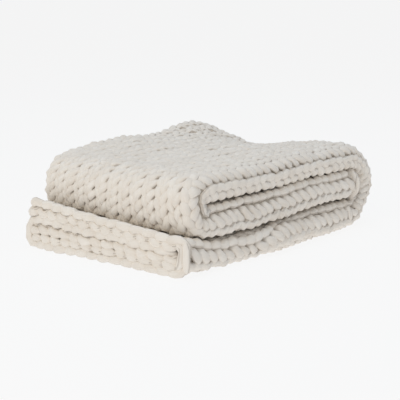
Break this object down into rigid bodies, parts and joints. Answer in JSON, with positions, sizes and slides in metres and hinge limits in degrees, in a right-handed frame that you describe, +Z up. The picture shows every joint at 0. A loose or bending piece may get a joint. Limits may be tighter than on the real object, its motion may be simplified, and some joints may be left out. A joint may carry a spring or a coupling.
{
  "type": "chunky knit blanket",
  "caption": "Chunky knit throw blanket of thick soft roving, folded both ways into a flat rectangular pile whose bound-off end stands out from under the fold.",
  "frame": {"origin": "under the middle of the folded pile's box, on the surface that it rests on", "axes": "+X runs along the folded strip, from the bound-off end to the large right-hand fold; +Y runs from the long front fold to the back; +Z is up"},
  "size_m": [0.6775, 0.4373, 0.2111],
  "materials": {
    "knit": "matte, soft knitted roving in warm off-white"
  },
  "bodies": {
    "root": {"blanket": "knit"}
  },
  "joints": []
}
